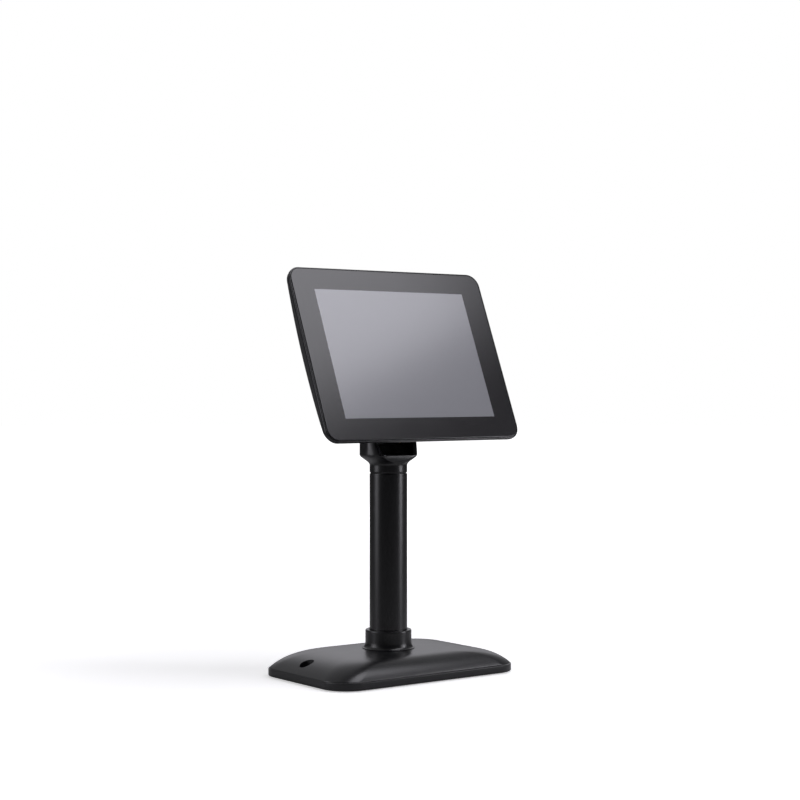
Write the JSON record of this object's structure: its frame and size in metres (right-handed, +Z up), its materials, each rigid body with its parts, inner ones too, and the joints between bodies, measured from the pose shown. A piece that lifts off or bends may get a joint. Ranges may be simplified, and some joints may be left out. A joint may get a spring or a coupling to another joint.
{
  "type": "pole-mounted touchscreen terminal",
  "caption": "Small touchscreen checkout terminal on a weighted base: a flat display that tilts and swivels on a round pole.",
  "frame": {"origin": "on the counter, under the middle of the base", "axes": "+X along the screen's width, -Y towards the person facing the screen, +Z up"},
  "size_m": [0.2092, 0.1266, 0.357],
  "materials": {
    "satin_black": "satin black powder coat on steel and die-cast metal",
    "painted_base": "satin black paint on a die-cast cover",
    "moulded_black": "fine-textured black ABS",
    "gloss_rim": "smooth black moulded rim",
    "dark_glass": "back-printed black touch glass with a grey view area",
    "panel_metal": "metal-framed LCD module",
    "steel": "zinc-plated steel",
    "zinc": "galvanised sheet and plate steel",
    "brass": "plain brass friction washers",
    "rubber": "black rubber feet",
    "nylon": "black nylon bush and washer",
    "foam": "closed-cell foam gasket",
    "board_green": "glass-epoxy circuit board",
    "ribbon": "flat flexible ribbon"
  },
  "bodies": {
    "base": {"base_cover": "painted_base", "base_weight": "zinc", "bottom_plate": "steel", "foot_1": "rubber", "foot_2": "rubber", "foot_3": "rubber", "foot_4": "rubber", "base_screw_1": "steel", "base_screw_2": "steel", "base_screw_3": "steel", "base_screw_4": "steel", "pole_collar": "satin_black", "pole_tube": "satin_black", "pole_anchor": "steel", "pole_bolt": "steel", "swivel_bush": "nylon", "swivel_washer": "nylon"},
    "head": {"head_cup": "satin_black", "swivel_bolt": "steel", "swivel_spring_washer": "steel", "swivel_nut": "steel", "tilt_bolt": "steel", "tilt_nut": "steel", "tilt_washer_left": "brass", "tilt_washer_right": "brass", "tilt_cap_left": "moulded_black", "tilt_cap_right": "moulded_black"},
    "display": {"hinge_arm": "satin_black", "arm_screw_1": "steel", "arm_screw_2": "steel", "arm_screw_3": "steel", "arm_screw_4": "steel", "display_rim": "gloss_rim", "touch_glass": "dark_glass", "glass_gasket": "foam", "lcd_panel": "panel_metal", "chassis": "zinc", "rear_cover": "moulded_black", "case_screw_1": "steel", "case_screw_2": "steel", "case_screw_3": "steel", "case_screw_4": "steel", "main_board": "board_green", "panel_cable": "ribbon", "io_board": "board_green", "key_board": "board_green", "video_socket": "steel", "data_socket": "steel", "power_socket": "moulded_black"},
    "menu_key": {"menu_key": "moulded_black"},
    "minus_key": {"minus_key": "moulded_black"},
    "plus_key": {"plus_key": "moulded_black"},
    "power_key": {"power_key": "moulded_black"}
  },
  "joints": [
    {"name": "head_swivel", "type": "hinge", "parent": "base", "child": "head", "pos_m": [0, 0.00347, 0.1777], "axis": [0, 0, 1], "range_deg": [-165, 165]},
    {"name": "screen_tilt", "type": "hinge", "parent": "head", "child": "display", "pos_m": [0, 0.00747, 0.2108], "axis": [-1, 0, 0], "range_deg": [-22.9, 42]},
    {"name": "menu_key_press", "type": "slide", "parent": "display", "child": "menu_key", "axis": [0, -0.9212, 0.3891], "range_m": [0, 0.001], "stiffness_N_per_m": 900, "springref_m": -0.0008},
    {"name": "minus_key_press", "type": "slide", "parent": "display", "child": "minus_key", "axis": [0, -0.9212, 0.3891], "range_m": [0, 0.001], "stiffness_N_per_m": 900, "springref_m": -0.0008},
    {"name": "plus_key_press", "type": "slide", "parent": "display", "child": "plus_key", "axis": [0, -0.9212, 0.3891], "range_m": [0, 0.001], "stiffness_N_per_m": 900, "springref_m": -0.0008},
    {"name": "power_key_press", "type": "slide", "parent": "display", "child": "power_key", "axis": [0, -0.9212, 0.3891], "range_m": [0, 0.001], "stiffness_N_per_m": 900, "springref_m": -0.0008}
  ]
}
